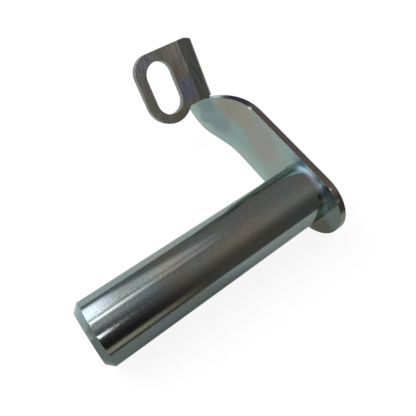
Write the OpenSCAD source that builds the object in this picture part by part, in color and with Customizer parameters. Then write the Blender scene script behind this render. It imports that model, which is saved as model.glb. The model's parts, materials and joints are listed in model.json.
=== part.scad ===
// Locking pin: a round steel pin fixed square to a flat strap, whose far end steps forward
// and is folded into a slotted ear that a bolt or a padlock holds.
//
// Frame: +X runs along the pin to its free end, from the strap's front face. +Y runs along the
// strap to its rounded end, and +Z across it. The part lies on the strap's lower edge (-Z) and on
// the pin's free end. The origin is on the pin's axis, in the strap's front face. Millimetres.

/* [Pin] */
// Diameter of the pin
pin_d = 25; // [18:0.5:28]
// Length of the pin from the strap's front face to its free end
pin_len = 100; // [50:1:200]
// Size of the chamfer round the free end
tip_chamfer = 2.5; // [0.5:0.1:4]
// Diameter of the spigot that passes through the strap
spigot_d = 16; // [10:0.5:17]
// How far the spigot stands out of the strap's back
spigot_proud = 1.5; // [0.5:0.1:4]
// Chamfer at the spigot's end
spigot_chamfer = 0.5; // [0.2:0.1:1]

/* [Strap] */
// Width of the strap
strap_w = 32; // [28:0.5:44]
// Thickness of the strap and of its ear
strap_t = 3; // [2:0.1:4]
// How far the pin's axis lies above the middle of the strap's width
pin_rise = 1.75; // [0:0.05:3]
// Distance from the pin's axis to the tip of the strap's rounded end
end_reach = 20; // [16:0.5:30]
// Radius of the rounded end's lower corner; the upper one takes the rest of the width
end_low_r = 17; // [14:0.5:20]
// Clearance all round between the spigot and its hole
hole_clearance = 0.1; // [0.05:0.05:0.3]

/* [Step] */
// Distance from the pin's axis to where the strap starts to step forward
step_from = 37; // [25:0.5:42]
// How far the strap steps forward
step_depth = 4.8; // [3:0.1:7]
// Distance between the two bend lines of the step
step_run = 16.5; // [12:0.5:20]
// Radius of the hollow bend, on the strap's front face
step_r_near = 40; // [10:1:45]
// Radius of the far bend, on the strap's back face
step_r_far = 20; // [5:1:25]

/* [Far end] */
// Angle between the strap's length and the ear's fold line
fold_turn = 45.05; // [43:0.05:47]
// Distance from the pin's axis to the ear's outer face
ear_gap = 38; // [32:0.5:45]
// Radius of the fold's inner side
fold_r = 2; // [1:0.1:3]
// How far the strap runs on behind the ear
leg_depth = 26.5; // [18:0.5:30]
// Radius of the strap's upper edge where it turns down to the fold
neck_r = 36; // [20:1:40]
// Radius of the far end's lower corner
heel_r = 25; // [8:1:30]
// Radius of the far end's upper corner
leg_corner_r = 9.5; // [3:0.5:12]
// How far the fold's upper end slopes away towards the strap's back
fold_end_drop = 1.7; // [0.5:0.1:3]
// Width of the slit between the fold and the strap's upper edge
slit_w = 1; // [0.5:0.1:2]
// How far the slit runs past the fold
slit_past = 1; // [0.2:0.1:3]

/* [Ear] */
// Width of the slot in the ear
slot_w = 12; // [6:0.5:13]
// Length of the slot in the ear
slot_l = 22.5; // [16:0.5:24]
// Distance from the strap's front face, at the pin, to the slot's middle line
slot_height = 23.2; // [22:0.1:40]
// Distance from the pin's axis to the slot's middle, along the fold
slot_along = 57.3; // [55:0.1:62]
// Metal between the slot and the ear's free edge
rim_side = 4.3; // [3:0.1:8]
// Metal between the slot and the ear's two ends
rim_end = 4; // [3:0.1:6]
// Radius of the ear's upper free corner
ear_corner_r = 8; // [2:0.5:10]
// How far the ear's lower end reaches past the fold
lobe_past = 3.9; // [2:0.1:6]

/* [Weld] */
// Width of the weld bead across the strap's back
bead_w = 3.5; // [2:0.1:4]
// Height of the weld bead above the strap's back
bead_h = 1.3; // [0.4:0.1:3]

/* [Hidden] */
$fn = 96;
// Largest angle between neighbouring facets of the step's bends
bend_step = 3;
pin_r = pin_d / 2;
spigot_r = spigot_d / 2;
// Longer than anything that a cutter or a half plane has to pass
far = 200;
// Overshoot of a cutter past the face that it cuts
past = 1;

// The strap's upper and lower edges
top_z = strap_w / 2 - pin_rise;
low_z = -strap_w / 2 - pin_rise;

// The step: slope of its ramp, and its bends, which never use more than the ramp's own length
ramp_slope = atan2(step_depth, step_run);
ramp_len = step_depth / sin(ramp_slope);
bend_share = min(1, ramp_len / ((step_r_near + step_r_far + strap_t) * tan(ramp_slope / 2)));
near_r = step_r_near * bend_share;
far_r = (step_r_far + strap_t) * bend_share - strap_t;
bend_in = step_from + near_r * tan(ramp_slope / 2);
bend_out = bend_in + step_run;

// The fold and the ear are laid out in the fold's own frame: (along the fold, across it, height),
// measured from the pin's axis and the strap's front face. The fold runs down and towards the
// pin, and the ear's outer face is at -ear_gap across it.
back_x = step_depth - strap_t;
fold_out_r = fold_r + strap_t;
fold_across = -ear_gap - fold_out_r;
foot_strip = slit_past + 2;
ear_foot = back_x + fold_out_r;
leg_across = -ear_gap - leg_depth;
ear_high = -slot_along - slot_l / 2 - rim_end;
ear_low = -slot_along + slot_l / 2 + rim_end;
fold_low = ear_low - lobe_past;
ear_edge = slot_height + slot_w / 2 + rim_side;
lobe_r = slot_w / 2 + rim_side;

// Unit vector at an angle
function heading(a) = [cos(a), sin(a)];

// Where a line through p with heading a meets the line through q with heading b
function crossing(p, a, q, b) =
    let (u = heading(a), v = heading(b), w = q - p)
    p + u * (w.x * v.y - w.y * v.x) / (u.x * v.y - u.y * v.x);

// Points of the arc that rounds the corner p of a side view, where the line comes in with
// heading a_in and leaves with heading a_out
function bend(p, a_in, a_out, r) =
    let (
        side = sign(a_out - a_in),
        centre = p - r * tan(abs(a_out - a_in) / 2) * heading(a_in) + r * heading(a_in + side * 90),
        steps = ceil(abs(a_out - a_in) / bend_step)
    )
    [for (i = [0:steps]) centre + r * heading(a_in - side * 90 + (a_out - a_in) * i / steps)];

// (Y, Z) of a place that is given along the fold and across it
function from_fold(along, across) = [
    along * cos(fold_turn) + across * sin(fold_turn),
    across * cos(fold_turn) - along * sin(fold_turn)
];

// Stands a drawing in (Y, Z) up along X
module stand() {
    rotate([90, 0, 90]) children();
}

// Puts what is drawn in the fold's frame where it belongs
module on_fold() {
    stand() rotate([0, 0, -fold_turn]) children();
}

// What an arc of radius r cuts off the corner p of an outline that runs anticlockwise, comes in
// with heading a_in and turns left there
module corner_offcut(p, a_in, turn, r) {
    first = a_in - 90;
    centre = p - r * tan(turn / 2) * heading(a_in) - r * heading(first);
    difference() {
        polygon([
            centre,
            centre + (r + past) * heading(first),
            centre + (r / cos(turn / 2) + 2 * past) * heading(first + turn / 2),
            centre + (r + past) * heading(first + turn)
        ]);
        translate(centre) circle(r);
    }
}

// Outline of the strap's flat face in (Y, Z), up to the slit's end and the foot of the fold
module strap_outline() {
    low_corner = [end_reach, low_z];
    top_corner = [end_reach, top_z];
    slit_corner = from_fold(fold_low + slit_w, fold_across - slit_past);
    leg_corner = from_fold(ear_high, leg_across);
    neck = crossing(top_corner, 180, slit_corner, 270 - fold_turn);
    heel = crossing(low_corner, 180, leg_corner, -fold_turn);
    difference() {
        polygon([
            low_corner, top_corner, neck, slit_corner,
            from_fold(ear_high, fold_across - slit_past), leg_corner, heel
        ]);
        corner_offcut(low_corner, 0, 90, end_low_r);
        corner_offcut(top_corner, 90, 90, strap_w - end_low_r);
        corner_offcut(neck, 180, 90 - fold_turn, neck_r);
        corner_offcut(leg_corner, 270 - fold_turn, 90, leg_corner_r);
        corner_offcut(heel, -fold_turn, fold_turn, heel_r);
    }
}

// Side view of the stepped strap: distance from the pin's axis towards the ear, and height
function step_profile() =
    let (
        shift = [strap_t * tan(ramp_slope / 2), -strap_t],
        front_in = [bend_in, 0],
        front_out = [bend_out, step_depth]
    )
    concat(
        [[-far, 0]],
        bend(front_in, 0, ramp_slope, near_r),
        bend(front_out, ramp_slope, 0, far_r + strap_t),
        [[far, step_depth], [far, back_x]],
        bend(front_out + shift, 180, 180 + ramp_slope, far_r),
        bend(front_in + shift, 180 + ramp_slope, 180, near_r + strap_t),
        [[-far, -strap_t]]
    );

// The flat strap with its step forward
module strap_plate() {
    intersection() {
        translate([-strap_t - past, 0, 0]) stand()
            linear_extrude(strap_t + step_depth + 2 * past) strap_outline();
        multmatrix([[0, 1, 0, 0], [-1, 0, 0, 0], [0, 0, 1, 0], [0, 0, 0, 1]])
            linear_extrude(far, center = true) polygon(step_profile());
    }
}

// Quarter round of the fold, with a strip of the strap at its foot
module fold() {
    translate([ear_high, fold_across, ear_foot]) rotate([90, 0, 90])
        linear_extrude(fold_low - ear_high) {
            intersection() {
                difference() {
                    circle(fold_out_r);
                    circle(fold_r);
                }
                translate([0, -far]) square(far);
            }
            translate([-foot_strip, -fold_out_r]) square([foot_strip, strap_t]);
        }
}

// The slot, round at both ends, its length along the fold
module slot_outline() {
    straight = slot_l - slot_w;
    translate([-slot_along, slot_height]) {
        square([straight, slot_w], center = true);
        for (side = [-1, 1]) translate([side * straight / 2, 0]) circle(slot_w / 2);
    }
}

// Outline of the ear, from the fold to its free edge: (along the fold, height)
module ear_outline() {
    lobe = [ear_low - lobe_r, ear_edge - lobe_r];
    difference() {
        union() {
            translate([ear_high, ear_foot]) square([lobe.x - ear_high, ear_edge - ear_foot]);
            translate([ear_high, ear_foot]) square([fold_low - ear_high, lobe.y - ear_foot]);
            translate(lobe) circle(lobe_r);
        }
        corner_offcut([ear_high, ear_edge], 180, 90, ear_corner_r);
        slot_outline();
    }
}

// The ear, standing on the fold
module ear() {
    translate([0, -ear_gap, 0]) rotate([90, 0, 0]) linear_extrude(strap_t) ear_outline();
}

// What the sloping upper end of the fold, and of the leg behind it, lacks
module fold_end_offcut() {
    slope = fold_end_drop / fold_out_r;
    rotate([90, 0, 0]) linear_extrude(2 * far, center = true) polygon([
        [ear_high, ear_foot],
        [ear_high - past, ear_foot],
        [ear_high - past, back_x - past],
        [ear_high + slope * (fold_out_r + past), back_x - past]
    ]);
}

// Folded plate: strap, step, fold and ear in one piece, with the spigot's hole
module strap() {
    color("lightslategray") difference() {
        union() {
            strap_plate();
            on_fold() {
                fold();
                ear();
            }
        }
        on_fold() fold_end_offcut();
        translate([-strap_t - past, 0, 0]) rotate([0, 90, 0])
            cylinder(h = strap_t + 2 * past, r = spigot_r + hole_clearance);
    }
}

// Round bar with a chamfered free end, turned down to a spigot behind the strap's face
module pin() {
    spigot_end = -strap_t - spigot_proud;
    color("slategray") rotate([0, 90, 0]) rotate_extrude() polygon([
        [0, spigot_end],
        [spigot_r - spigot_chamfer, spigot_end],
        [spigot_r, spigot_end + spigot_chamfer],
        [spigot_r, 0],
        [pin_r, 0],
        [pin_r, pin_len - tip_chamfer],
        [pin_r - tip_chamfer, pin_len],
        [0, pin_len]
    ]);
}

// Ring of weld that joins the spigot to the strap's back, its crown an arc from the bead's foot
// to its top against the spigot
module weld_bead() {
    crown_r = (bead_w * bead_w + bead_h * bead_h) / (2 * bead_h);
    color("gray") rotate([0, 90, 0]) rotate_extrude() intersection() {
        translate([spigot_r, -strap_t - bead_h]) square([bead_w, bead_h]);
        translate([spigot_r, -strap_t - bead_h + crown_r]) circle(crown_r);
    }
}

pin();
strap();
weld_bead();
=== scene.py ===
# %% [markdown]
# # A zinc-plated locking pin
#
# The object is a round steel pin that stands square on a flat steel strap. The strap's far end
# steps forward and is folded up into an ear with a slot for a bolt or a padlock. Three pieces of
# metal make it: the turned bar, the pressed plate and the ring of weld behind the strap. The
# measured solids come in first and give every place, so no piece below is fitted by eye.

# %% Load the measured solids
import json
import math
import bpy
from mathutils import Matrix, Vector

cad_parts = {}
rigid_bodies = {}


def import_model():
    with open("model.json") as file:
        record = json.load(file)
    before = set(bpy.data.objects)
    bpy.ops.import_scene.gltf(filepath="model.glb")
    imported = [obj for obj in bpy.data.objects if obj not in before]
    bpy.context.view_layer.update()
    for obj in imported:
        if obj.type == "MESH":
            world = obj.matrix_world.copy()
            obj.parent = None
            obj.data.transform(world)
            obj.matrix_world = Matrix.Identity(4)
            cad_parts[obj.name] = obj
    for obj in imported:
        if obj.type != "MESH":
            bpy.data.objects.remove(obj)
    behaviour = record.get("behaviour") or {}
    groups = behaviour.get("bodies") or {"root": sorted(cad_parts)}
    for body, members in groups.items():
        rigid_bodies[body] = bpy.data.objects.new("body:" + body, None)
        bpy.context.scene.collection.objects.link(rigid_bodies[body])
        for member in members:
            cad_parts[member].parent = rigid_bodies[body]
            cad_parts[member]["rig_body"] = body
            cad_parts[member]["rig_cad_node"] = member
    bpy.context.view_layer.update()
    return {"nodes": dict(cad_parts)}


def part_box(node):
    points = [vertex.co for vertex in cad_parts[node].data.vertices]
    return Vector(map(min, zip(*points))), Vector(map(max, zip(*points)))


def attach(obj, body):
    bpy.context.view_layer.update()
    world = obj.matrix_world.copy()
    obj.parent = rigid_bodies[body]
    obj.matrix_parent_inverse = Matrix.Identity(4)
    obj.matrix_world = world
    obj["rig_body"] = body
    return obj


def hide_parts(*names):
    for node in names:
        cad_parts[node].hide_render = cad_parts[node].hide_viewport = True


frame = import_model()
pin_low, pin_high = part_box("pin")
strap_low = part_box("strap")[0]
bead_low, bead_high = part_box("weld_bead")
pin_r = pin_high.z
bar_end = pin_high.x
MM = 0.001
scene = bpy.context.scene

# %% [markdown]
# ## Colours and shader nodes
#
# A colour picked by eye from a screen is an sRGB value, while Blender's sockets hold linear
# light. One function turns the hex value into linear numbers. A second one adds any node with its
# settings and its links. The nodes could be laid out by hand in the shader editor as well, but
# written this way a pattern reads as a short recipe of sums on masks that run from 0 to 1.

# %% Helpers for materials
RIM_TINT = (0.72, 0.82, 0.80, 1.0)


def linear(hex_code):
    """The linear RGBA of an sRGB colour such as 9AAAA0."""
    parts = [int(hex_code[i:i + 2], 16) / 255 for i in (0, 2, 4)]
    return [c / 12.92 if c <= 0.04045 else ((c + 0.055) / 1.055) ** 2.4 for c in parts] + [1.0]


def add(tree, kind, *values, out=0, stops=(), **settings):
    """Adds a shader node with its settings and links, and gives back one of its outputs.

    Values fill the node's sockets in order, or by name when they come as a dictionary. Each is a
    number, a colour, a direction or another node's output. Stops are the steps of a ramp.
    """
    node = tree.nodes.new("ShaderNode" + kind)
    for name, value in settings.items():
        setattr(node, name, value)
    for k, (position, colour) in enumerate(stops):
        if k > 1:
            node.color_ramp.elements.new(position)
        node.color_ramp.elements[k].position = position
        node.color_ramp.elements[k].color = colour
    named = values[0] if values and isinstance(values[0], dict) else dict(enumerate(values))
    for socket, value in named.items():
        if isinstance(value, bpy.types.NodeSocket):
            tree.links.new(value, node.inputs[socket])
        else:
            node.inputs[socket].default_value = value
    return node.outputs[out] if len(node.outputs) else node


def metal(name):
    """A new material that is all metal, with the tree that its pattern goes into.

    Zinc stays greenish grey where it is seen edge on, which the tint says.
    """
    material = bpy.data.materials.new(name)
    material.use_nodes = True
    tree = material.node_tree
    shader = tree.nodes["Principled BSDF"]
    shader.inputs["Metallic"].default_value = 1.0
    shader.inputs["Specular Tint"].default_value = RIM_TINT
    return material, tree, shader


print("9AAAA0 in linear light:", [round(c, 3) for c in linear("9AAAA0")])

# %% [markdown]
# ## Zinc plate on rolled sheet
#
# The strap was cut from rolled sheet and dipped in a clear blue passivate after plating. To the
# eye that is a grey-green metal, neither mirror nor matt, with soft olive clouds a few
# centimetres wide where the film is thicker, and with bluish ones where the press scuffed it.
# Towards its lower edge it is painted lighter and bluer, a painted reflection. Its skin has a
# faint orange peel of about 1 mm, and grains of zinc that make the gloss uneven. The real grains
# are about 0.3 mm wide, which is less than a pixel here, so they are drawn at 0.7 mm.
# A painted picture could carry all this, but it would blur close up. Noise textures of these
# sizes stay sharp, and drive colour, roughness and bump together.

# %% Helpers for patterns
TIMES = {"operation": "MULTIPLY"}
SOFT = {"interpolation_type": "SMOOTHSTEP"}
OVER = {"data_type": "RGBA", "out": "Result"}
RIM_RAGGED = (0.6, 1.4)
FULL_WITHIN = 0.4


def patch(tree, place, ragged, centre_mm, radius_mm):
    """A soft round mask at a place, its rim broken up by the ragged noise."""
    away = add(tree, "VectorMath", place, [c * MM for c in centre_mm], operation="DISTANCE",
               out="Value")
    rough_rim = add(tree, "Math", away, add(tree, "MapRange", ragged, 0.0, 1.0, *RIM_RAGGED),
                    **TIMES)
    return add(tree, "MapRange", rough_rim, radius_mm * MM, radius_mm * FULL_WITHIN * MM, **SOFT)


def stain(tree, place, ragged, colour, spots, within=1.0):
    """Lays coloured patches over a colour, each (centre in mm, radius in mm, sRGB colour). Some
    are films of the plating, and others are painted shade, highlights and reflections, as the
    callers say.
    """
    for centre, radius, film in spots:
        mask = add(tree, "Math", patch(tree, place, ragged, centre, radius), within, **TIMES)
        colour = add(tree, "Mix", {"Factor": mask, "A": colour, "B": linear(film)}, **OVER)
    return colour


def stripe(tree, value, low, high, soft):
    """1 between low and high, with soft borders of the given half width."""
    return add(tree, "Math", add(tree, "MapRange", value, low - soft, low + soft, **SOFT),
               add(tree, "MapRange", value, high + soft, high - soft, **SOFT), **TIMES)


def finish(tree, shader, colour, roughness, heights):
    """Joins colour, roughness and a stack of (height, strength, depth in mm) to the shader."""
    tree.links.new(colour, shader.inputs["Base Color"])
    tree.links.new(roughness, shader.inputs["Roughness"])
    normal = None
    for height, strength, depth_mm in heights:
        sockets = {"Height": height, "Strength": strength, "Distance": depth_mm * MM}
        if normal is not None:
            sockets["Normal"] = normal
        normal = add(tree, "Bump", sockets)
    tree.links.new(normal, shader.inputs["Normal"])


print("a stain is full to", FULL_WITHIN, "of its radius, and ragged by", RIM_RAGGED)

# %% [markdown]
# ### The marks of the press
#
# The ear was folded up over a die, whose shoulder pressed a line across it. That line is painted
# lighter, a painted highlight of its groove, and the strip below it is painted darker, a painted
# dark reflection. The shear left the plate's edges torn and dull. Such places could be picked
# face by face, but their borders would be hard. Masks on the Object coordinates and on the
# normals give soft borders. The fold runs at 45 degrees in the strap, so (y + z) / sqrt(2)
# measures across it and (y - z) / sqrt(2) along it. Heights are x, counted from the strap's face
# at the pin.

# %% Find the folded ear
LARGER = {"operation": "MAXIMUM"}
DIAGONAL = math.sqrt(0.5)
FOLD_FACE = -38.0 * MM     # across the fold: the ear's outer face
FOLD_BACK = -43.0 * MM     # across the fold: where the bend runs out into the strap
FOLD_LOW = -45.9 * MM      # along the fold: its lower end, past which only the ear goes on
FOLD_SOFT = 0.2 * MM
BEND_FOOT = (1.6 * MM, 2.6 * MM)    # x: the bend's foot, along the fold's own length
EAR_ALONE = (6.0 * MM, 6.8 * MM)    # x: from here on there is only the ear
DIE_LINE = 10.4 * MM                # x: the line that the die pressed


def fold_masks(tree, place):
    """x, y and z, and masks of the whole folded ear and of its lower band below the die line."""
    axes = add(tree, "SeparateXYZ", place).node.outputs
    across = add(tree, "VectorMath", place, (0, DIAGONAL, DIAGONAL), operation="DOT_PRODUCT",
                 out="Value")
    down = add(tree, "VectorMath", place, (0, DIAGONAL, -DIAGONAL), operation="DOT_PRODUCT",
               out="Value")
    folded = stripe(tree, across, FOLD_BACK - 0.3 * MM, FOLD_FACE + 0.3 * MM, FOLD_SOFT)
    behind = add(tree, "Math", add(tree, "MapRange", axes["X"], *BEND_FOOT, **SOFT),
                 add(tree, "MapRange", down, FOLD_LOW + 0.5 * MM, FOLD_LOW, **SOFT), **TIMES)
    clear = add(tree, "Math", behind, add(tree, "MapRange", axes["X"], *EAR_ALONE, **SOFT),
                **LARGER)
    ear = add(tree, "Math", folded, clear, **TIMES)
    lower = add(tree, "MapRange", axes["X"], DIE_LINE + 0.25 * MM, DIE_LINE - 0.15 * MM, **SOFT)
    return axes, ear, add(tree, "Math", ear, lower, **TIMES)


print("die line", DIE_LINE / MM, "mm above the strap's face at the pin")

# %% Find the cut edges
MINUS = {"operation": "SUBTRACT"}
EAR_UPRIGHT = (6.5 * MM, 8.0 * MM)  # x: the bend is over and the ear is flat
SHEARED_LEAN = (0.85, 0.45)         # cosines between which a face turns from rolled to sheared


def sheared_mask(tree, axes, ear):
    """1 on the cut edges of the sheet, whose normals lie along neither rolled face."""
    normal = add(tree, "NewGeometry", out="Normal")
    lean = [add(tree, "Math", add(tree, "VectorMath", normal, direction, operation="DOT_PRODUCT",
                                  out="Value"), operation="ABSOLUTE")
            for direction in ((1, 0, 0), (0, DIAGONAL, DIAGONAL))]
    above_fold = add(tree, "Math", ear,
                     add(tree, "MapRange", axes["X"], *EAR_UPRIGHT, **SOFT), **TIMES)
    below = add(tree, "Math", 1.0, above_fold, **MINUS)
    rolled = add(tree, "Math", add(tree, "Math", lean[0], below, **TIMES),
                 add(tree, "Math", lean[1], ear, **TIMES), **LARGER)
    return add(tree, "MapRange", rolled, *SHEARED_LEAN, **SOFT)


print("sheared from", round(math.degrees(math.acos(SHEARED_LEAN[1]))), "degrees off the face")

# %% The strap's pattern: clouds, films and the lighter lower edge
CLOUD = 24 * MM
RAGGED = 5 * MM
GRAIN = 0.7 * MM
PEEL = 1.2 * MM

sheet_zinc, tree, shader = metal("zinc_plated_rolled_sheet")
place = add(tree, "TexCoord", out="Object")
axes, ear, dark_reflection_band = fold_masks(tree, place)
sheared = sheared_mask(tree, axes, ear)
clouds = add(tree, "TexNoise", {"Vector": place, "Scale": 1 / CLOUD, "Detail": 3.0,
                                "Roughness": 0.55, "Distortion": 0.4})
ragged = add(tree, "TexNoise", {"Vector": place, "Scale": 1 / RAGGED, "Detail": 4.0,
                                "Roughness": 0.55})
specks = add(tree, "TexNoise", {"Vector": place, "Scale": 1 / GRAIN, "Detail": 5.0,
                                "Roughness": 0.7})
peel = add(tree, "TexNoise", {"Vector": place, "Scale": 1 / PEEL, "Detail": 2.0,
                              "Roughness": 0.55})
colour = add(tree, "ValToRGB", clouds, stops=[
    (0.30, linear("839C98")), (0.46, linear("899F98")), (0.60, linear("8F9990")),
    (0.72, linear("908F83"))])
# Painted reflection: the strap is painted lighter and bluer towards its lower edge.
lower_edge_reflection = add(tree, "MapRange", axes["Z"], -8 * MM, -17 * MM, 0.0, 0.45, **SOFT)
colour = add(tree, "Mix", {"Factor": lower_edge_reflection, "A": colour, "B": linear("AEBFB9")}, **OVER)
# Films of the plating, and painted shade: (0, 14, -9) is painted darker below the round end, a
# painted dark reflection of the shaded paper, and the last two are painted shade in the crease at
# the step's far bend. (5, -61, -3) is a darker patch beside the ear.
colour = stain(tree, place, ragged, colour, [
    ((4, -49, 8), 12, "888B7F"), ((1, -28, 2), 14, "8D908A"), ((5, -61, -3), 10, "6E8383"),
    ((2, -40, 6), 9, "8F8F85"), ((4, -52, -6), 9, "7C908F"), ((0, -8, 16), 7, "748B92"),
    ((0, 14, -9), 10, "74786D"),
    ((4.7, -61.5, -11.5), 4, "7A8E90"), ((4.6, -59, -8.5), 4.5, "7A8E8F")])
print(sheet_zinc.name, "has", len(tree.nodes), "nodes so far")

# %% The folded ear, its die line and the cut edges
colour = add(tree, "Mix", {"Factor": ear, "A": colour, "B": linear("A6B0A8")}, **OVER)
colour = stain(tree, place, ragged, colour, [
    ((15, -64, 11), 7, "93A6BC"), ((28, -77, 23), 6, "A5B3BE"), ((13, -75, 22), 5, "B4BCB8"),
    ((22, -58, 6), 6, "9C9F90"), ((25, -64, 10), 5, "ADAE9A"), ((16, -70, 17), 4, "A6A494")],
    within=ear)
# Painted dark reflection: the strip of the ear below the die line is painted darker.
colour = add(tree, "Mix", {"Factor": dark_reflection_band, "A": colour, "B": linear("7F8B8A")}, **OVER)
# Painted highlight: the die line is painted lighter, unevenly along it.
line_highlight_ragged = add(tree, "Math", ear, add(tree, "MapRange", ragged, 0.0, 1.0, 0.3, 1.3), **TIMES)
die_line_highlight = add(tree, "Math", line_highlight_ragged, stripe(tree, axes["X"], DIE_LINE - 0.3 * MM,
                                         DIE_LINE + 0.3 * MM, 0.3 * MM), **TIMES)
colour = add(tree, "Mix", {"Factor": die_line_highlight, "A": colour, "B": linear("C4CAC9")}, **OVER)
colour = add(tree, "Mix", {"Factor": sheared, "A": colour, "B": linear("7B7E76")}, **OVER)
# Painted reflections on the cut edge: painted dark at the neck, and painted lighter and teal near
# the ear.
colour = stain(tree, place, ragged, colour, [
    ((0.6, -46.5, 12.2), 8, "545A68"), ((4.0, -58, 6.4), 4.5, "AFC4BC")], within=sheared)
print(sheet_zinc.name, "has", len(tree.nodes), "nodes so far")

# %% Glints, grain and scratches of the strap
# Three painted highlights lie on the upper cut edge, near white and broken up by the grain. The
# grain tells most on the ear and on the cut edges. The die left fine scratches along the fold.
PAINTED_GLINTS = [((-0.3, -39.4, 13.9), 1.2), ((-0.4, 8.5, 13.8), 0.9), ((-0.6, 13.4, 11.7), 0.9)]
SCRATCH = 0.7 * MM
SCRATCH_STRETCH = 12

for centre, radius in PAINTED_GLINTS:
    colour = stain(tree, place, ragged, colour, [(centre, radius, "F4F6F6")],
                   within=add(tree, "MapRange", specks, 0.40, 0.55, **SOFT))
speck_tone = add(tree, "ValToRGB", specks, stops=[
    (0.28, [0.62, 0.63, 0.65, 1]), (0.48, [0.96, 0.96, 0.96, 1]),
    (0.62, [1.1, 1.1, 1.1, 1]), (0.74, [1.7, 1.7, 1.7, 1])])
marred = add(tree, "Math", ear, sheared, **LARGER)
colour = add(tree, "Mix", {"Factor": add(tree, "MapRange", marred, 0.0, 1.0, 0.18, 0.95),
                           "A": colour, "B": speck_tone}, blend_type="MULTIPLY", **OVER)
brushed = add(tree, "Mapping", {"Vector": place, "Rotation": (math.radians(45), 0, 0),
                                "Scale": (1, 1, SCRATCH_STRETCH)}, vector_type="TEXTURE")
scratches = add(tree, "TexNoise", {"Vector": brushed, "Scale": 1 / SCRATCH, "Detail": 4.0,
                                   "Roughness": 0.65})
scratch_tone = add(tree, "ValToRGB", scratches, stops=[
    (0.34, [0.72, 0.72, 0.74, 1]), (0.50, [1, 1, 1, 1]), (0.66, [1.35, 1.35, 1.33, 1])])
colour = add(tree, "Mix", {"Factor": ear, "A": colour, "B": scratch_tone},
             blend_type="MULTIPLY", **OVER)
print(len(PAINTED_GLINTS), "glints, scratches of", SCRATCH / MM, "by",
      round(SCRATCH_STRETCH * SCRATCH / MM, 1), "mm")

# %% Gloss and bump of the strap
PLUS = {"operation": "ADD"}
SHEET_GLOSS = (0.18, 0.28)
EAR_DULLER = 0.16
EDGE_GLOSSIER = 0.08
TORN = 0.8 * MM

gloss = add(tree, "MapRange", specks, 0.0, 1.0, *SHEET_GLOSS)
gloss = add(tree, "Math", gloss, add(tree, "Math", ear, EAR_DULLER, **TIMES), **PLUS)
gloss = add(tree, "Math", gloss, add(tree, "Math", sheared, EDGE_GLOSSIER, **TIMES), **MINUS)
torn = add(tree, "TexNoise", {"Vector": place, "Scale": 1 / TORN, "Detail": 3.0,
                              "Roughness": 0.55})
torn = add(tree, "Math", torn, sheared, **TIMES)
finish(tree, shader, colour, gloss, [(peel, 0.12, 0.06), (torn, 0.35, 0.08)])
print("made", sheet_zinc.name, "with roughness", SHEET_GLOSS)

# %% [markdown]
# ## Zinc plate on drawn and turned bar
#
# The pin is bright drawn bar, faced and chamfered in a lathe, then plated. Drawing leaves fine
# lines along it. The shader's anisotropy could smear the lamps the same way, but it draws no
# lines, so noise stretched a hundredfold along X does it. The plating's grain shows as a mottle
# where a lamp's reflection ends, which a bump gives. That grain and the lines are drawn at
# 0.6 mm, coarser than the real ones, because finer ones fall between the pixels. Where the bar
# meets the strap it is duller, and painted bluer and lighter, a painted reflection.

# %% Colour of the pin
BAR_CLOUD = 20 * MM
BAR_GRAIN = 0.6 * MM
DRAWN_STRETCH = 100
ROOT_SHEEN_AND_DULL = (3.2 * MM, 1.4 * MM)

bar_zinc, tree, shader = metal("zinc_plated_drawn_bar")
place = add(tree, "TexCoord", out="Object")
axes = add(tree, "SeparateXYZ", place).node.outputs
clouds = add(tree, "TexNoise", {"Vector": place, "Scale": 1 / BAR_CLOUD, "Detail": 3.0,
                                "Roughness": 0.55, "Distortion": 0.3})
specks = add(tree, "TexNoise", {"Vector": place, "Scale": 1 / BAR_GRAIN, "Detail": 4.0,
                                "Roughness": 0.65})
drawn = add(tree, "Mapping", {"Vector": place, "Scale": (1 / DRAWN_STRETCH, 1.0, 1.0)})
lines = add(tree, "TexNoise", {"Vector": drawn, "Scale": 1 / BAR_GRAIN, "Detail": 4.0,
                               "Roughness": 0.65})
colour = add(tree, "ValToRGB", clouds, stops=[
    (0.32, linear("82949A")), (0.50, linear("84938F")), (0.66, linear("8A9188"))])
at_root = add(tree, "MapRange", axes["X"], *ROOT_SHEEN_AND_DULL, **SOFT)
# Painted reflection: the bar is painted bluer and lighter by its root.
colour = add(tree, "Mix", {"Factor": at_root, "A": colour, "B": linear("A3B4BF")}, **OVER)
line_tone = add(tree, "ValToRGB", lines, stops=[
    (0.30, [0.78, 0.78, 0.79, 1]), (0.50, [1, 1, 1, 1]), (0.72, [0.92, 0.92, 0.92, 1])])
speck_tone = add(tree, "ValToRGB", specks, stops=[
    (0.28, [0.70, 0.70, 0.74, 1]), (0.46, [0.95, 0.95, 0.96, 1]),
    (0.56, [1.05, 1.05, 1.04, 1]), (0.74, [1.4, 1.4, 1.4, 1])])
for share, tone in ((0.6, line_tone), (0.8, speck_tone)):
    colour = add(tree, "Mix", {"Factor": share, "A": colour, "B": tone}, blend_type="MULTIPLY",
                 **OVER)
print("lines", DRAWN_STRETCH * BAR_GRAIN / MM, "mm long, bluer film to", ROOT_SHEEN_AND_DULL[0] / MM, "mm")

# %% Gloss and bump of the pin
# A wave texture of scale 1 has a ring every 0.314 m. The facing tool leaves one every 0.4 mm.
BAR_GLOSS = (0.05, 0.17)
ROOT_DULLER = 0.18
WAVE_AT_ONE = 0.314
TOOL_FEED = 0.4 * MM
FACED_LEAN = (0.90, 0.98)

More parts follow.
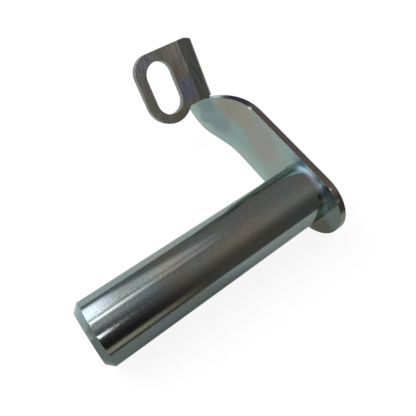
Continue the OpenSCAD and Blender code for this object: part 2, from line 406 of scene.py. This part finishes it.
gloss = add(tree, "MapRange", specks, 0.0, 1.0, *BAR_GLOSS)
gloss = add(tree, "Math", gloss, add(tree, "Math", at_root, ROOT_DULLER, **TIMES), **PLUS)
normal = add(tree, "NewGeometry", out="Normal")
facing_end = add(tree, "Math", add(tree, "SeparateXYZ", normal, out="X"), operation="ABSOLUTE")
faced = add(tree, "MapRange", facing_end, *FACED_LEAN, **SOFT)
rings = add(tree, "TexWave", {"Vector": place, "Scale": WAVE_AT_ONE / TOOL_FEED,
                              "Distortion": 0.6},
            wave_type="RINGS", rings_direction="X", out="Fac")
tool_marks = add(tree, "Math", faced, rings, **TIMES)
finish(tree, shader, colour, gloss, [(specks, 0.25, 0.02), (lines, 0.15, 0.02),
                                     (tool_marks, 0.5, 0.03)])
print("made", bar_zinc.name, "with roughness", BAR_GLOSS)

# %% [markdown]
# ## Zinc plate on weld metal
#
# The bead behind the strap is cast metal under the same plating, so it is a little rougher and
# darker than the bar, with small pits and spatter of about 0.6 mm. The bar's finish could serve
# for it, but a welded ring that gleams like a turned one looks moulded on.

# %% Material of the weld
PIT = 0.6 * MM
WELD_CLOUD = 4 * MM
WELD_GLOSS = (0.26, 0.48)

weld_zinc, tree, shader = metal("zinc_plated_weld_metal")
place = add(tree, "TexCoord", out="Object")
pits = add(tree, "TexNoise", {"Vector": place, "Scale": 1 / PIT, "Detail": 4.0,
                              "Roughness": 0.55})
clouds = add(tree, "TexNoise", {"Vector": place, "Scale": 1 / WELD_CLOUD, "Detail": 3.0,
                                "Roughness": 0.55})
colour = add(tree, "ValToRGB", clouds, stops=[
    (0.35, linear("6F7C79")), (0.52, linear("858D88")), (0.70, linear("7F7B70"))])
gloss = add(tree, "MapRange", pits, 0.0, 1.0, *WELD_GLOSS)
finish(tree, shader, colour, gloss, [(pits, 0.5, 0.06)])
print("made", weld_zinc.name, "with roughness", WELD_GLOSS)

# %% [markdown]
# ## The pin
#
# The bar is modelled as it was turned: a cylinder of 192 sides, so that lamps run along it
# unbroken, faced to length, with its free end drawn out into the chamfer. Spinning a profile
# would give the same body, but extruding each step in turn follows the cuts of the lathe. A
# 0.25 mm bevel breaks the turned edges, because plating never covers a knife edge and a broken
# edge is what catches the light.

# %% Start from the bar
BAR_SIDES = 192
FLARE_START = 2.6 * MM


def only(piece):
    """Selects one piece and makes it active."""
    bpy.ops.object.select_all(action="DESELECT")
    piece.select_set(True)
    bpy.context.view_layer.objects.active = piece


def settle(piece):
    """Moves a piece's place into its mesh, so that its object sits at the origin."""
    only(piece)
    bpy.ops.object.transform_apply(location=True, rotation=True, scale=True)


bpy.ops.object.select_all(action="DESELECT")
bpy.ops.mesh.primitive_cylinder_add(
    vertices=BAR_SIDES, radius=pin_r, depth=bar_end - FLARE_START,
    location=((bar_end + FLARE_START) / 2, 0, 0), rotation=(0, math.pi / 2, 0))
pin = bpy.context.object
pin.name = "turned_pin"
settle(pin)
print("bar", round(bar_end / MM, 2), "mm long,", round(2 * pin_r / MM, 2), "mm across")

# %% Turn the chamfer at the free end
CHAMFER = 2.5 * MM
FACING = 0.9


def edit(piece, mode):
    """Clears a piece's selection of vertices, edges and faces, and sets which of them counts."""
    only(piece)
    bpy.ops.object.mode_set(mode="EDIT")
    bpy.ops.mesh.select_mode(type=mode)
    bpy.ops.mesh.select_all(action="DESELECT")
    bpy.ops.object.mode_set(mode="OBJECT")


def pick_faces(piece, wanted):
    """Selects the faces that wanted(face) accepts, and stays in edit mode."""
    edit(piece, "FACE")
    for face in piece.data.polygons:
        face.select = wanted(face)
    bpy.ops.object.mode_set(mode="EDIT")


def step(radius_from, radius_to, along):
    """Draws the selected round face or rim to another radius and then along the bar."""
    bpy.ops.mesh.extrude_region_move(TRANSFORM_OT_translate={"value": (0, 0, 0)})
    share = radius_to / radius_from
    bpy.ops.transform.resize(value=(1, share, share), center_override=(0, 0, 0))
    bpy.ops.transform.translate(value=(along, 0, 0))


pick_faces(pin, lambda face: face.normal.x > FACING)
bpy.ops.transform.translate(value=(-CHAMFER, 0, 0))
step(pin_r, pin_r - CHAMFER, CHAMFER)
bpy.ops.object.mode_set(mode="OBJECT")
print("chamfer", CHAMFER / MM, "mm")

# %% Break its edges
# The root's flat face comes off first, so that the bevel leaves that rim alone.
TURNED_BREAK = 0.25 * MM


def break_edges(piece, width, segments, angle):
    """Rounds each edge sharper than the angle."""
    only(piece)
    bevel = piece.modifiers.new("broken_edges", "BEVEL")
    bevel.width = width
    bevel.segments = segments
    bevel.limit_method = "ANGLE"
    bevel.angle_limit = math.radians(angle)
    bevel.use_clamp_overlap = True
    bevel.miter_outer = "MITER_ARC"
    bpy.ops.object.modifier_apply(modifier=bevel.name)


pick_faces(pin, lambda face: face.normal.x < -FACING)
bpy.ops.mesh.delete(type="ONLY_FACE")
bpy.ops.object.mode_set(mode="OBJECT")
break_edges(pin, TURNED_BREAK, segments=3, angle=30)
print("the bar now has", len(pin.data.polygons) // BAR_SIDES, "rings of faces")

# %% [markdown]
# ### The flare and the spigot
#
# The bar flares by a third of a millimetre where it was upset against the strap, and behind that
# shoulder comes the spigot that the hole takes. A bevel round the root could stand for the flare,
# but it would be tangent to the strap as well, and the real one meets the strap with a crisp rim.
# So the open rim of the bar is drawn out along an arc that leaves the bar tangent to it.

# %% Draw out the flare and the spigot
FLARE_R = 9.0 * MM
FLARE_TURN = math.radians(15)
FLARE_STEPS = 6
SPIGOT_R = 8 * MM
SPIGOT_BREAK = 0.5 * MM

edit(pin, "EDGE")
for edge in pin.data.edges:
    edge.select = all(pin.data.vertices[v].co.x < FLARE_START + 0.01 * MM for v in edge.vertices)
bpy.ops.object.mode_set(mode="EDIT")
radius, at_x = pin_r, FLARE_START
for k in range(FLARE_STEPS):
    angle = FLARE_TURN * (k + 1) / FLARE_STEPS
    wider = pin_r + FLARE_R * (1 - math.cos(angle))
    lower = FLARE_START - FLARE_R * math.sin(angle)
    step(radius, wider, lower - at_x)
    radius, at_x = wider, lower
step(radius, radius, -at_x)
step(radius, SPIGOT_R, 0)
step(SPIGOT_R, SPIGOT_R, pin_low.x + SPIGOT_BREAK)
step(SPIGOT_R, SPIGOT_R - SPIGOT_BREAK, -SPIGOT_BREAK)
bpy.ops.mesh.edge_face_add()
bpy.ops.mesh.select_all(action="SELECT")
bpy.ops.mesh.normals_make_consistent(inside=False)
bpy.ops.object.mode_set(mode="OBJECT")
print("rim", round(2 * radius / MM, 2), "mm across, pin runs from",
      round(min(v.co.x for v in pin.data.vertices) / MM, 2), "to",
      round(max(v.co.x for v in pin.data.vertices) / MM, 2), "mm")

# %% Shade it and hand it over
SMOOTH_BELOW = math.radians(32)


def shade(piece):
    """Smooth shading that keeps flat faces flat and sharp edges sharp."""
    only(piece)
    bpy.ops.object.shade_smooth_by_angle(angle=SMOOTH_BELOW)
    flatten = piece.modifiers.new("flat_faces", "WEIGHTED_NORMAL")
    flatten.keep_sharp = True
    flatten.weight = 100
    bpy.ops.object.modifier_apply(modifier=flatten.name)


shade(pin)
pin.data.materials.clear()
pin.data.materials.append(bar_zinc)
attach(pin, "root")
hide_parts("pin")
print(pin.name, len(pin.data.polygons), "faces")

# %% [markdown]
# ## The folded strap
#
# The strap's shape is the measured solid's own: rounded end, forward step, fold and slotted ear.
# It could be bent up anew from a flat outline, but the measured solid already has the true bends.
# So a copy of it is merged, its flat triangles are dissolved into plain faces, and its cut edges
# are rounded by 0.35 mm, which is what shearing and tumbling leave on 3 mm sheet.

# %% Copy and merge the measured strap
MERGE_WITHIN = 0.002 * MM
FLAT_WITHIN = math.radians(0.3)

strap = frame["nodes"]["strap"].copy()
strap.data = frame["nodes"]["strap"].data.copy()
strap.name = "folded_strap"
strap.parent = None
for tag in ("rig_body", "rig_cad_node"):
    if tag in strap:
        del strap[tag]
scene.collection.objects.link(strap)
only(strap)
bpy.ops.object.mode_set(mode="EDIT")
bpy.ops.mesh.select_all(action="SELECT")
bpy.ops.mesh.remove_doubles(threshold=MERGE_WITHIN)
bpy.ops.mesh.dissolve_limited(angle_limit=FLAT_WITHIN)
bpy.ops.mesh.select_all(action="DESELECT")
bpy.ops.object.mode_set(mode="OBJECT")
print(strap.name, len(strap.data.vertices), "vertices after merging")

# %% Round its cut edges
SHEARED_BREAK = 0.35 * MM

break_edges(strap, SHEARED_BREAK, segments=3, angle=40)
shade(strap)
strap.data.materials.clear()
strap.data.materials.append(sheet_zinc)
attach(strap, "root")
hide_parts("strap")
print(strap.name, len(strap.data.polygons), "faces")

# %% [markdown]
# ## The weld bead
#
# A hand-laid bead freezes in overlapping drops, like tiles laid in a ring. A plain torus would
# have no ripples, and a bump on it would not change its outline. So one drop is made, a flattened
# ball tipped towards the last one. Copies of it are set round the spigot, each turned a little
# further, and a voxel remesh melts them into one skin.

# %% Lay one drop and copy it round the spigot
BEAD_OUT = bead_high.z
BEAD_MID = (BEAD_OUT + SPIGOT_R) / 2
BEAD_H = bead_high.x - bead_low.x
DROPS = 38
DROP_HALF = 1.35 * MM
DROP_TIP = math.radians(14)
SHY = 0.05 * MM      # how far a drop stays inside the measured bead, for its tip

bpy.ops.object.select_all(action="DESELECT")
bpy.ops.mesh.primitive_uv_sphere_add(segments=20, ring_count=12, radius=1.0)
drop = bpy.context.object
drop.scale = ((BEAD_H - SHY), (BEAD_OUT - SPIGOT_R) / 2 - SHY, DROP_HALF)
drop.rotation_euler = (0, DROP_TIP, 0)
settle(drop)
drop.location = (bead_high.x, BEAD_MID, 0)
settle(drop)
drops = [drop]
for k in range(1, DROPS):
    twin = drop.copy()
    twin.data = drop.data.copy()
    scene.collection.objects.link(twin)
    twin.rotation_euler = (2 * math.pi * k / DROPS, 0, 0)
    settle(twin)
    drops.append(twin)
bpy.ops.object.select_all(action="DESELECT")
for drop in drops:
    drop.select_set(True)
bpy.context.view_layer.objects.active = drops[0]
bpy.ops.object.join()
bead = bpy.context.object
bead.name = "rippled_weld_bead"
print(bead.name, "of", DROPS, "drops")

# %% Melt the drops into one skin
# The drops' inner halves lie in the strap. They are cut off flat, just inside its back face.
VOXEL = 0.16 * MM
FOOT = 0.3 * MM

melt = bead.modifiers.new("melt", "REMESH")
melt.mode = "VOXEL"
melt.voxel_size = VOXEL
only(bead)
bpy.ops.object.modifier_apply(modifier=melt.name)
relax = bead.modifiers.new("relax", "SMOOTH")
relax.factor = 0.5
relax.iterations = 2
bpy.ops.object.modifier_apply(modifier=relax.name)
bpy.ops.object.mode_set(mode="EDIT")
bpy.ops.mesh.select_all(action="SELECT")
bpy.ops.mesh.bisect(plane_co=(bead_high.x + FOOT, 0, 0), plane_no=(1, 0, 0),
                    clear_outer=True, use_fill=True)
bpy.ops.mesh.select_all(action="SELECT")
bpy.ops.mesh.normals_make_consistent(inside=False)
bpy.ops.object.mode_set(mode="OBJECT")
bpy.ops.object.shade_smooth()
bead.data.materials.clear()
bead.data.materials.append(weld_zinc)
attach(bead, "root")
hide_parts("weld_bead")
print(bead.name, len(bead.data.polygons), "faces")

# %% [markdown]
# ## The table
#
# The part lies on three places: the strap's lower edge near the round end and again where the
# strap has stepped forward, and the pin's rim just behind the chamfer. A physics run could drop
# it on a floor, but three points fix a plane exactly. The white table top is the plane through
# them, so it slopes about 3 degrees in the part's own frame.

# %% Lay the table top under the three resting places
ROUND_END_Y = 3 * MM
STEP_DEPTH = 4.8 * MM
HEEL_Y = -62.5 * MM
TABLE_WIDTH = 0.7

rests = [Vector((0, ROUND_END_Y, strap_low.z)),
         Vector((STEP_DEPTH, HEEL_Y, strap_low.z)),
         Vector((bar_end - CHAMFER, 0, -pin_r))]
up = (rests[2] - rests[0]).cross(rests[1] - rests[0]).normalized()
up = up if up.z > 0 else -up
centre = Vector((0.04, -0.03, 0))
centre.z = rests[0].z - (up.x * (centre.x - rests[0].x) + up.y * (centre.y - rests[0].y)) / up.z
bpy.ops.object.select_all(action="DESELECT")
bpy.ops.mesh.primitive_plane_add(size=TABLE_WIDTH)
table = bpy.context.object
table.name = "table_top"
table.matrix_world = Matrix.Translation(centre) @ up.to_track_quat("Z", "Y").to_matrix().to_4x4()
print("table slopes", round(math.degrees(up.angle(Vector((0, 0, 1)))), 2), "degrees")

# %% [markdown]
# ### White paper that keeps a soft shadow
#
# The camera sees the table as plain white with a soft shadow. The metal sees it as a sheet of
# paper on a darker desk, which shows past the paper's back edge and its far side. Real paper
# under one lamp would do for either, but not for both at once, so the Light Path node tells the
# two apart. Close to the pin the glow that the metal sees is painted dimmer, a painted shadow,
# most of all towards the free end. In front of that end it is painted brighter on the near side,
# where only the chamfer sees it.

# %% How bright the metal sees the paper
# Places are in metres: x along the pin, and y from the near side, where the strap is, to the far
# side, which starts at y = 0.
SHEET_BACK = -0.12
SHEET_SIDE = 0.15
PAPER_LEVEL = 0.85

paper = bpy.data.materials.new("white_paper")
paper.use_nodes = True
tree = paper.node_tree
tree.nodes.clear()
spot = add(tree, "SeparateXYZ", add(tree, "NewGeometry", out="Position")).node.outputs
sheet = add(tree, "Math",
            add(tree, "MapRange", spot["X"], SHEET_BACK - 0.02, SHEET_BACK, **SOFT),
            add(tree, "MapRange", spot["Y"], SHEET_SIDE + 0.01, SHEET_SIDE - 0.01, **SOFT),
            **TIMES)
# Painted shadow: the glow that the metal sees is dimmed beside the pin and on the far side, and
# painted brighter in front of the free end.
far_side = add(tree, "MapRange", spot["Y"], 0.0, 0.02, **SOFT)
depth = add(tree, "MapRange", spot["X"], -0.02, 0.05, 0.30, 0.59, **SOFT)
shade_far = add(tree, "Math", 1.0, add(tree, "Math", depth, far_side, **TIMES), **MINUS)
beside = add(tree, "MapRange", spot["X"], 0.02, 0.05, 0.9, 0.55, **SOFT)
in_front = add(tree, "MapRange", spot["X"], 0.096, 0.110, beside, 1.5, **SOFT)
close_by = add(tree, "MapRange", far_side, 0.0, 1.0, in_front, beside)
shade_near = add(tree, "MapRange", spot["Y"], -0.06, -0.02, 1.0, close_by, **SOFT)
desk = add(tree, "MapRange", spot["Y"], -0.12, -0.20, 0.32, 0.06, **SOFT)
bright = add(tree, "Math", add(tree, "MapRange", sheet, 0.0, 1.0, desk, PAPER_LEVEL),
             add(tree, "Math", shade_far, shade_near, **TIMES), **TIMES)
print("the paper reaches from x", SHEET_BACK, "and to y", SHEET_SIDE, "m")

# %% Mix what is lit with what glows
# The lit share takes the real shadows. The glowing share is level for the camera, which sees
# mostly that, and carries the painted shadow for the metal.
PAPER_WHITE = (0.86, 0.86, 0.86, 1)
SEEN_GLOW = 0.88
MIRROR_GLOW = 0.6
FAR_GLOW = 0.14      # added on the far side, where the metal sees less of the lit paper

ray = add(tree, "LightPath").node.outputs
mirrored = add(tree, "Math", ray["Is Glossy Ray"], ray["Is Transmission Ray"], **LARGER)
lit = add(tree, "BsdfDiffuse", {"Color": PAPER_WHITE})
strength = add(tree, "Math", ray["Is Camera Ray"],
               add(tree, "Math", mirrored, bright, **TIMES), **PLUS)
glow = add(tree, "Emission", {"Strength": strength})
shadowed = add(tree, "Math", far_side,
               add(tree, "MapRange", spot["X"], 0.01, 0.05, 0.0, FAR_GLOW, **SOFT), **TIMES)
on_sheet = add(tree, "MapRange", sheet, 0.0, 1.0, 1.0,
               add(tree, "Math", shadowed, MIRROR_GLOW, **PLUS))
share = add(tree, "Math", add(tree, "Math", ray["Is Camera Ray"], SEEN_GLOW, **TIMES),
            add(tree, "Math", mirrored, on_sheet, **TIMES), **PLUS)
add(tree, "OutputMaterial", add(tree, "MixShader", share, lit, glow))
table.data.materials.append(paper)
print("made", paper.name)

# %% [markdown]
# ## The room and its lamps
#
# Plated metal shows the room more than itself. The camera sees a white backdrop. Above the table
# the metal sees a dim room instead, because the photographed pin is dark on top, and an all-white
# room would turn it into a white bar. A window stands on the near side, where the
# strap is, and smaller lamps above and on the far side, all stronger towards the pin's free end.
# Area lamps could stand for them, but their outlines would be hard, and the photograph's are
# soft. So the room is drawn round the pin's own
# axis: one angle runs round the pin from straight up (0 degrees) down to either side, and a
# second number runs along it, so each lamp is a patch with soft borders in those two.

# %% Directions in the room
# A direction's x runs from -1 towards the pin's root to 1 towards its free end.
world = bpy.data.worlds.new("white_backdrop_dim_room")
scene.world = world
world.use_nodes = True
tree = world.node_tree
tree.nodes.clear()
towards = add(tree, "SeparateXYZ", add(tree, "TexCoord", out="Generated")).node.outputs
along = towards["X"]
turn = add(tree, "Math", add(tree, "Math", towards["Y"], towards["Z"], operation="ARCTAN2"),
           operation="DEGREES")
print("made", world.name)

# %% Paint the walls
SEEN_ROUND = 120.0
ROOT_TO_FREE = (-0.36, -0.06)


def walls(stops):
    """Grey and brown walls through (degrees round the pin, r, g, b) stops."""
    share = add(tree, "MapRange", turn, -SEEN_ROUND, SEEN_ROUND)
    return add(tree, "ValToRGB", share, stops=[
        ((a + SEEN_ROUND) / (2 * SEEN_ROUND), [r, g, b, 1]) for a, r, g, b in stops])


free_side = walls([(-95, 0.28, 0.27, 0.28), (-10, 0.44, 0.39, 0.42), (8, 0.34, 0.30, 0.33),
                   (20, 0.18, 0.16, 0.165), (40, 0.11, 0.085, 0.085), (54, 0.04, 0.03, 0.03),
                   (80, 0.05, 0.04, 0.03), (112, 0.10, 0.08, 0.07)])
root_side = walls([(-95, 0.26, 0.24, 0.25), (-60, 0.34, 0.30, 0.31), (-20, 0.38, 0.32, 0.32),
                   (10, 0.50, 0.41, 0.38), (26, 0.46, 0.38, 0.35), (42, 0.26, 0.21, 0.20),
                   (58, 0.17, 0.14, 0.13), (100, 0.16, 0.14, 0.13)])
room = add(tree, "Mix", {"Factor": add(tree, "MapRange", along, *ROOT_TO_FREE, **SOFT),
                         "A": root_side, "B": free_side}, **OVER)
print("walls from", -SEEN_ROUND, "to", SEEN_ROUND, "degrees round the pin")

# %% Hang the lamps
FREE_END_FADE = (0.95, 0.68)


def lamp(beneath, low, high, soft, reach, colour, lean=0.0):
    """Adds a soft lamp between two angles, from reach[0] to reach[1] towards the free end.

    Its border at the low angle leans over by so many degrees along the room.
    """
    leaning = add(tree, "Math", turn, add(tree, "Math", along, lean, **TIMES), **PLUS)
    round_it = add(tree, "Math",
                   add(tree, "MapRange", leaning, low - soft, low + soft, **SOFT),
                   add(tree, "MapRange", turn, high + soft, high - soft, **SOFT), **TIMES)
    along_it = add(tree, "Math", add(tree, "MapRange", along, *reach, **SOFT),
                   add(tree, "MapRange", along, *FREE_END_FADE, **SOFT), **TIMES)
    mask = add(tree, "Math", round_it, along_it, **TIMES)
    return add(tree, "Mix", {"Factor": mask, "A": beneath, "B": list(colour) + [1.0]},
               blend_type="ADD", **OVER)


room = lamp(room, -75, -31, 8, (-0.075, 0.003), (3.0, 2.7, 2.8))
room = lamp(room, -78, -31, 8, (-0.38, -0.20), (0.72, 0.63, 0.64), lean=112.0)
room = lamp(room, -25, -18, 3, (-0.17, 0.01), (4.2, 3.7, 3.8))
room = lamp(room, -26, -16, 3, (-0.38, -0.22), (0.55, 0.47, 0.46))
room = lamp(room, -16, 4, 8, (-0.20, 0.0), (0.45, 0.41, 0.43))
room = lamp(room, 23, 31, 3, (-0.012, 0.0), (6.5, 5.5, 5.8))
room = lamp(room, 75, 90, 5, (-0.28, -0.02), (0.74, 0.60, 0.46))
print("the room has", len(tree.nodes), "nodes")

# %% Close the room and show the camera a white backdrop
END_WALL = (0.90, 0.97)
END_WALL_COLOUR = (0.50, 0.47, 0.51, 1.0)
WHITE = (1.0, 1.0, 1.0, 1.0)

room = add(tree, "Mix", {"Factor": add(tree, "MapRange", along, *END_WALL, **SOFT),
                         "A": room, "B": END_WALL_COLOUR}, **OVER)
seen = add(tree, "Mix", {"Factor": add(tree, "LightPath", out="Is Camera Ray"), "A": room,
                         "B": WHITE}, **OVER)
add(tree, "OutputWorld", add(tree, "Background", seen))
print("the end wall stands at", END_WALL, "along")

# %% [markdown]
# ### A panel over the paper
#
# The soft shadow on the paper needs a lamp of some size near by. The room alone would light the
# paper too evenly. The panel hides from reflections, because the metal has its lamps already.

# %% A soft panel that lights the paper
def panel(name, centre, target, size, power):
    """A soft rectangular lamp at a place, turned to a target. Only the paper shows its light."""
    light = bpy.data.lights.new(name, "AREA")
    light.shape = "RECTANGLE"
    light.size, light.size_y = size
    light.energy = power
    item = bpy.data.objects.new(name, light)
    scene.collection.objects.link(item)
    item.location = centre
    item.rotation_euler = (Vector(target) - Vector(centre)).to_track_quat("-Z", "Y").to_euler()
    item.visible_glossy = False


panel("panel_over_paper", (0.30, -0.45, 0.65), (0.05, -0.02, 0), (0.6, 0.6), 5.0)

# %% [markdown]
# ## The camera
#
# The photograph's perspective was worked out from the outlines of the pin and the strap. It is
# a close, steep view from above the free end, through a lens that is about as long as the frame
# is wide. A camera set by eye would come near it, but the way that the pin narrows with distance
# shows any error at once.

# %% Set the camera
SENSOR = 36.0
LENS_PX = 420
PHOTO_PX = 416
EYE_AT = (0.09576, 0.03798, 0.14638)

eye = bpy.data.cameras.new("photo_camera")
eye.sensor_width = SENSOR
eye.lens = SENSOR * LENS_PX / PHOTO_PX
eye.clip_start = 0.001
eye.clip_end = 20.0
camera = bpy.data.objects.new("photo_camera", eye)
scene.collection.objects.link(camera)
right = Vector((-0.79277, 0.60288, 0.08968))
back = Vector((0.34912, 0.32854, 0.87760))
above = back.cross(right)
facing = Matrix((right, above, back)).transposed().to_4x4()
camera.matrix_world = Matrix.Translation(EYE_AT) @ facing
scene.camera = camera
scene.view_settings.view_transform = "Standard"
print("camera at", [round(c / MM, 1) for c in camera.location], "mm, lens", round(eye.lens, 2))
